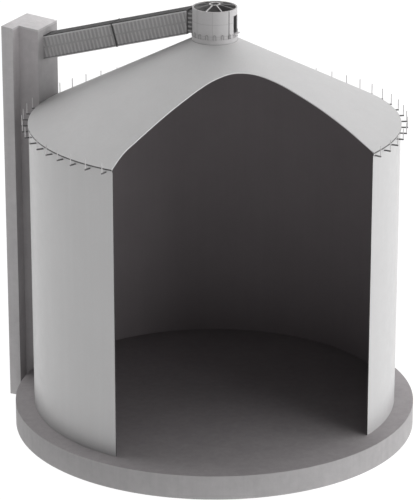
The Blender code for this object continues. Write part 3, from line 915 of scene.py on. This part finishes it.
def along_gallery(radius):
    """Distance down the gallery's top line to a radius."""
    return radius * math.hypot(1.0, GALLERY_RISE)


def gallery_spans():
    """Where the sheets of each section start and end, as distances down the gallery's top line."""
    middle = along_gallery((GALLERY_HEAD + GALLERY_FOOT) / 2.0)
    # The joint's centre line crosses the gallery's mid height at the middle radius
    joint = middle + math.sin(GALLERY_TILT) * GALLERY_HEIGHT / 2.0
    reach = GALLERY_JOINT_HALF_WIDTH + GAP
    start = along_gallery(GALLERY_HEAD) - SHEET_LEAD
    end = along_gallery(GALLERY_FOOT) + SHEET_OVERRUN
    return {"upper": (start, joint - reach), "lower": (joint + reach, end)}


def fit_gallery(bm):
    """Turn a mesh from along the gallery's top line into place, cut upright at the head and the foot."""
    lift = Matrix.Translation((0.0, 0.0, GALLERY_TOP_ON_AXIS))
    bmesh.ops.transform(bm, matrix=lift @ Matrix.Rotation(GALLERY_TILT, 4, "Y"), verts=bm.verts)
    trim(bm, Vector((GALLERY_FOOT, 0.0, 0.0)), Vector((1.0, 0.0, 0.0)))
    trim(bm, Vector((GALLERY_HEAD, 0.0, 0.0)), Vector((-1.0, 0.0, 0.0)))
    turn_to(bm, TOWER_BEARING)


def ribbed_sheet(start, end):
    """Left side sheet, with trapezoid ribs square to the gallery and a groove half way up."""
    outside = GALLERY_WIDTH / 2.0
    inside, deep = outside - GALLERY_WALL, outside - RIB_DEPTH
    outline = [(start, deep)]
    x = start
    while x + RIB_PITCH < end:
        outline += [(x + RIB_FLAT, deep), (x + RIB_FLAT + RIB_SLOPE, outside)]
        outline += [(x + 2.0 * RIB_FLAT + RIB_SLOPE, outside), (x + RIB_PITCH, deep)]
        x += RIB_PITCH
    outline += [(end, deep), (end, inside), (start, inside)]
    half_way = (SHEET_LOW + SHEET_HIGH) / 2.0
    groove = box_mesh(
        (start - OVERSHOOT, outside - GROOVE_DEPTH, half_way - GROOVE_HALF_HEIGHT),
        (end + OVERSHOOT, outside + OVERSHOOT, half_way + GROOVE_HALF_HEIGHT),
    )
    sheet = carved(extruded(outline, SHEET_LOW, SHEET_HIGH), groove)
    # Painted shade: the rib troughs and sides, the groove and the sheet's ends take the darker copy of
    # the sheet's paint; the crests keep the sheet's paint
    for face in sheet.faces:
        face.material_index = int(inside < face.calc_center_median().y < outside - GROOVE_DEPTH / 2.0)
    return sheet


def make_gallery_sheets(section, start, end):
    """Both side sheets of a section, the right one a mirror image of the left."""
    sheets, right = ribbed_sheet(start, end), ribbed_sheet(start, end)
    bmesh.ops.transform(right, matrix=Matrix.Diagonal((1.0, -1.0, 1.0, 1.0)), verts=right.verts)
    bmesh.ops.reverse_faces(right, faces=right.faces)
    join(sheets, right)
    fit_gallery(sheets)
    nodes = [f"gallery_{section}_left_wall", f"gallery_{section}_right_wall"]
    looks = [GALLERY_LOOK, GALLERY_TROUGH_SHADE_LOOK]
    piece(f"gallery_{section}_sheets", sheets, looks, nodes)
    dress(f"gallery_{section}_roof", GALLERY_ROOF_LOOK)
    dress(f"gallery_{section}_floor", GALLERY_LOOK)


def make_gallery_edges(spans):
    """A light angle along the top of each sheet, and a dark one along its foot."""
    edges = bmesh.new()
    half = GALLERY_WIDTH / 2.0
    for start, end in spans:
        for side in (1.0, -1.0):
            near, far = sorted((side * (half - EDGE_ANGLE_WIDTH), side * (half + EDGE_ANGLE_PROUD)))
            add_box(edges, (start, near, SHEET_HIGH - TOP_ANGLE_HEIGHT), (end, far, SHEET_HIGH))
            add_box(edges, (start, near, SHEET_LOW), (end, far, SHEET_LOW + FOOT_ANGLE_HEIGHT), look=1)
    fit_gallery(edges)
    piece("gallery_edge_angles", edges, [GALLERY_EDGE_LOOK, GALLERY_FOOT_LOOK])


def make_neck_slats():
    slats = bmesh.new()
    half = NECK_WIDTH / 2.0
    step = (NECK_TOP - NECK_BOTTOM) / SLAT_COUNT
    turn = bearing_matrix(TOWER_BEARING)
    for i in range(SLAT_COUNT):
        middle = NECK_BOTTOM + (i + 0.5) * step
        for side in (1.0, -1.0):
            near, far = sorted((side * (half + GAP), side * (half + SLAT_DEPTH)))
            low = (SLAT_START, near, middle - SLAT_HALF_HEIGHT)
            high = (SLAT_END, far, middle + SLAT_HALF_HEIGHT)
            add_box(slats, low, high, turn, SLAT_BEVEL)
    piece("gallery_neck_slats", slats, [SLAT_LOOK])


def make_gallery():
    spans = gallery_spans()
    for section, span in spans.items():
        make_gallery_sheets(section, *span)
    make_gallery_edges(spans.values())
    make_neck_slats()
    dress("gallery_joint_frame", GALLERY_JOINT_LOOK)
    dress("gallery_neck", NECK_LOOK)


def drum_opening(bearing, width, low, high):
    """Box that opens the drum's wall on one side."""
    return box_mesh(
        (DRUM_RADIUS - OVERSHOOT, -width / 2.0, low),
        (DRUM_RADIUS + OVERSHOOT, width / 2.0, high),
        bearing_matrix(bearing),
    )


def make_drum(nodes):
    """The round wall with its doorway and the neck's mouth, one panel of it a little lighter, as painted
    light where it faces the lights on the right.
    """
    inner = DRUM_RADIUS - DRUM_WALL
    profile = ring_profile(inner, DRUM_RADIUS, BASE_RING_TOP + GAP, DRUM_RIM_HEIGHT)
    door = drum_opening(DOOR_BEARING, DOOR_WIDTH, DOOR_BOTTOM, DOOR_TOP)
    mouth_width = NECK_WIDTH - 2.0 * NECK_WALL
    mouth = drum_opening(TOWER_BEARING, mouth_width, MOUTH_BOTTOM + GAP, NECK_TOP - NECK_WALL)
    drum = carved(turned(bmesh.new(), profile, DRUM_STEPS), door, mouth)
    for face in drum.faces:
        place = face.calc_center_median()
        away = math.hypot(place.x, place.y)
        inward = place.x * face.normal.x + place.y * face.normal.y < -FACING * away
        past_seam = (math.degrees(math.atan2(place.y, place.x)) - LIT_PANEL_START) % 360.0
        if inward and away < inner + NEAR:
            face.material_index = 1
        # Painted light: the panel facing the lights on the right takes the lighter copy
        elif past_seam < LIT_PANEL_SWEEP:
            face.material_index = 2
    piece("drum_shell", drum, [DRUM_LOOK, DRUM_INNER_LOOK, DRUM_LIT_PANEL_LOOK], nodes)


def make_sill(nodes):
    half = DOOR_WIDTH / 2.0 + SILL_OVERLAP
    low = (DRUM_RADIUS - SILL_ROOT, -half, DOOR_BOTTOM - SILL_THICKNESS)
    high = (DRUM_RADIUS + SILL_REACH, half, DOOR_BOTTOM - SILL_DROP)
    piece("door_sill", box_mesh(low, high, bearing_matrix(DOOR_BEARING)), [SPOKE_LOOK], nodes)


def make_seams(nodes):
    """Upright seams and ring joints, half sunk into the drum."""
    inner, outer = DRUM_RADIUS - SEAM_RAISE, DRUM_RADIUS + SEAM_RAISE
    seams = bmesh.new()
    for i in range(SEAM_COUNT):
        sharp = i == SHARP_SEAM
        half = SHARP_SEAM_HALF_WIDTH if sharp else SEAM_HALF_WIDTH
        low = (inner, -half, BASE_RING_TOP + GAP)
        high = (outer, half, DRUM_RIM_HEIGHT - SEAM_END_GAP)
        turn = bearing_matrix(SEAM_PHASE + 360.0 / SEAM_COUNT * i)
        add_box(seams, low, high, turn, look=int(sharp))
    past_door = DOOR_BEARING + DOOR_HALF_ANGLE
    before_door = DOOR_BEARING - DOOR_HALF_ANGLE + 360.0
    for height in RING_JOINT_HEIGHTS:
        profile = ring_profile(inner, outer, height - SEAM_HALF_WIDTH, height + SEAM_HALF_WIDTH)
        turned(seams, profile, RING_JOINT_STEPS, past_door, before_door)
    piece("drum_seams", seams, [DRUM_JOINT_LOOK, DRUM_SEAM_LOOK], nodes)


def make_foot_shade_ring():
    """Wedge-shaped dark ring where the base ring meets the roof, as painted contact shade."""
    foot = roof_top(BASE_RING_RADIUS)
    low, high = foot - FOOT_SHADE_HALF_HEIGHT, foot + FOOT_SHADE_HALF_HEIGHT
    inner = BASE_RING_RADIUS + GAP
    wide, narrow = BASE_RING_RADIUS + FOOT_SHADE_FOOT_WIDTH, BASE_RING_RADIUS + FOOT_SHADE_TOP_WIDTH
    shade_ring = turned(bmesh.new(), ((inner, low), (wide, low), (narrow, high), (inner, high)), DRUM_STEPS)
    piece("drum_foot_shade_ring", shade_ring, [DRUM_FOOT_SHADE_LOOK])


def add_hoop(bm, turn, height):
    """Add a bent bar that stands like an arch against the foot of the drum."""
    spring = HOOP_FOOT + height - HOOP_HALF_WIDTH
    path = [(-HOOP_HALF_WIDTH, HOOP_FOOT)]
    for k in range(HOOP_BEND_STEPS + 1):
        a = math.pi * k / HOOP_BEND_STEPS
        path.append((-HOOP_HALF_WIDTH * math.cos(a), spring + HOOP_HALF_WIDTH * math.sin(a)))
    path.append((HOOP_HALF_WIDTH, HOOP_FOOT))
    outward = Vector((1.0, 0.0, 0.0))
    rings = []
    for k, (y, z) in enumerate(path):
        before, after = path[max(k - 1, 0)], path[min(k + 1, len(path) - 1)]
        along = Vector((0.0, after[0] - before[0], after[1] - before[1])).normalized()
        across = along.cross(outward)
        ring = []
        for side in range(HOOP_BAR_SIDES):
            a = math.tau * side / HOOP_BAR_SIDES
            offset = (outward * math.cos(a) + across * math.sin(a)) * HOOP_BAR_RADIUS
            ring.append(bm.verts.new(turn @ (Vector((HOOP_RADIUS, y, z)) + offset)))
        rings.append(ring)
    for first, second in zip(rings, rings[1:]):
        for side in range(HOOP_BAR_SIDES):
            bm.faces.new((first[side - 1], first[side], second[side], second[side - 1]))
    bm.faces.new(rings[0])
    bm.faces.new(list(reversed(rings[-1])))


def make_hoops():
    """Anchor hoops on all sides that the gallery's neck leaves free, lower ones under the door sill."""
    hoops = bmesh.new()
    for i in range(round(360.0 / HOOP_PITCH)):
        bearing = DOOR_BEARING + HOOP_PITCH * (i + 0.5)
        if apart(bearing, TOWER_BEARING) < NECK_HALF_ANGLE:
            continue
        under_sill = apart(bearing, DOOR_BEARING) < DOOR_HALF_ANGLE
        add_hoop(hoops, bearing_matrix(bearing), LOW_HOOP_HEIGHT if under_sill else HOOP_HEIGHT)
    piece("anchor_hoops", hoops, [HOOP_LOOK])


def make_top_house():
    nodes = numbered("top_house_wall", DRUM_QUARTERS)
    make_drum(nodes)
    make_sill(nodes)
    make_seams(nodes)
    make_foot_shade_ring()
    make_hoops()
    dress("top_house_base_ring", DRUM_LOOK)
    dress("top_house_floor", DRUM_INNER_LOOK)


def make_roof_frame():
    """Rim, raised hub and sloping spokes, two of them light."""
    rim_outer = DRUM_RADIUS - DRUM_WALL - RIM_CLEARANCE
    rim_inner = rim_outer - RIM_WIDTH
    rim = ring_profile(rim_inner, rim_outer, DRUM_RIM_HEIGHT - RIM_DEPTH, DRUM_RIM_HEIGHT)
    crown = turned(bmesh.new(), rim, RIM_STEPS)
    top = DRUM_RIM_HEIGHT + HUB_HEIGHT_ABOVE_RIM
    hub = ring_profile(HUB_RADIUS - HUB_HALF_WIDTH, HUB_RADIUS + HUB_HALF_WIDTH, top - HUB_DEPTH, top)
    turned(crown, hub, HUB_STEPS)
    reach = (rim_inner + rim_outer) / 2.0
    fall = -HUB_HEIGHT_ABOVE_RIM / (reach - HUB_RADIUS)
    base = DRUM_RIM_HEIGHT - fall * reach - SPOKE_DROP
    low = (HUB_RADIUS, -SPOKE_BAR / 2.0, base - SPOKE_BAR)
    high = (reach, SPOKE_BAR / 2.0, base)
    for i in range(SPOKE_COUNT):
        spoke = lean(box_mesh(low, high), fall)
        turn_to(spoke, SPOKE_PHASE + 360.0 / SPOKE_COUNT * i)
        for face in spoke.faces:
            face.material_index = int(i not in LIGHT_SPOKES)
        join(crown, spoke)
    piece("crown_frame", crown, [SPOKE_LOOK, SPOKE_FAR_LOOK], ["top_house_roof_frame"])


def make_camera():
    data = bpy.data.cameras.new("photo_camera")
    data.lens = CAMERA_LENS
    data.sensor_width = CAMERA_SENSOR
    data.clip_end = CAMERA_CLIP_END
    camera = bpy.data.objects.new("photo_camera", data)
    camera.location = CAMERA_LOCATION
    camera.rotation_euler = CAMERA_ROTATION
    bpy.context.scene.collection.objects.link(camera)
    bpy.context.scene.camera = camera


def make_floor():
    """Pale paper that glows, so that it stays white under the soft lights."""
    g = Graph("floor_paper")
    tone = g.spread(g.noise(scale=0.2, detail=3.0, roughness=0.5), MIDDLE, FLOOR_SHADED_TONE, 1.0)
    fibres = g.bump(g.noise(scale=8.0, detail=2.0, roughness=0.5), distance=0.002)
    g.finish(g.shade(grey(FLOOR_TONE), tone), FLOOR_ROUGHNESS, fibres, FLOOR_SPECULAR)
    g.shader.inputs["Emission Color"].default_value = WHITE
    g.shader.inputs["Emission Strength"].default_value = FLOOR_GLOW
    bm = bmesh.new()
    bmesh.ops.create_grid(bm, x_segments=1, y_segments=1, size=FLOOR_REACH)
    floor = bpy.data.objects.new("floor", finish_mesh("floor", bm, [g.material]))
    floor.location.z = -FLOOR_DROP
    bpy.context.scene.collection.objects.link(floor)


def make_lights():
    world = bpy.data.worlds.new("studio")
    bpy.context.scene.world = world
    world.use_nodes = True
    background = world.node_tree.nodes["Background"]
    background.inputs["Color"].default_value = WHITE
    background.inputs["Strength"].default_value = SKY_STRENGTH
    for name, bearing, height, strength in SOFT_LIGHTS:
        data = bpy.data.lights.new(name, "SUN")
        data.energy = strength
        data.angle = math.radians(SOFT_LIGHT_SPREAD)
        sun = bpy.data.objects.new(name, data)
        a, e = math.radians(bearing), math.radians(height)
        toward = Vector((math.cos(a) * math.cos(e), math.sin(a) * math.cos(e), math.sin(e)))
        sun.rotation_euler = toward.to_track_quat("Z", "Y").to_euler()
        bpy.context.scene.collection.objects.link(sun)
    bpy.context.scene.view_settings.view_transform = "Standard"


make_camera()
make_slab()
make_wall()
make_roof()
make_eave()
make_tower_shaft()
make_tower_cap()
make_gallery()
make_top_house()
make_roof_frame()
make_floor()
make_lights()
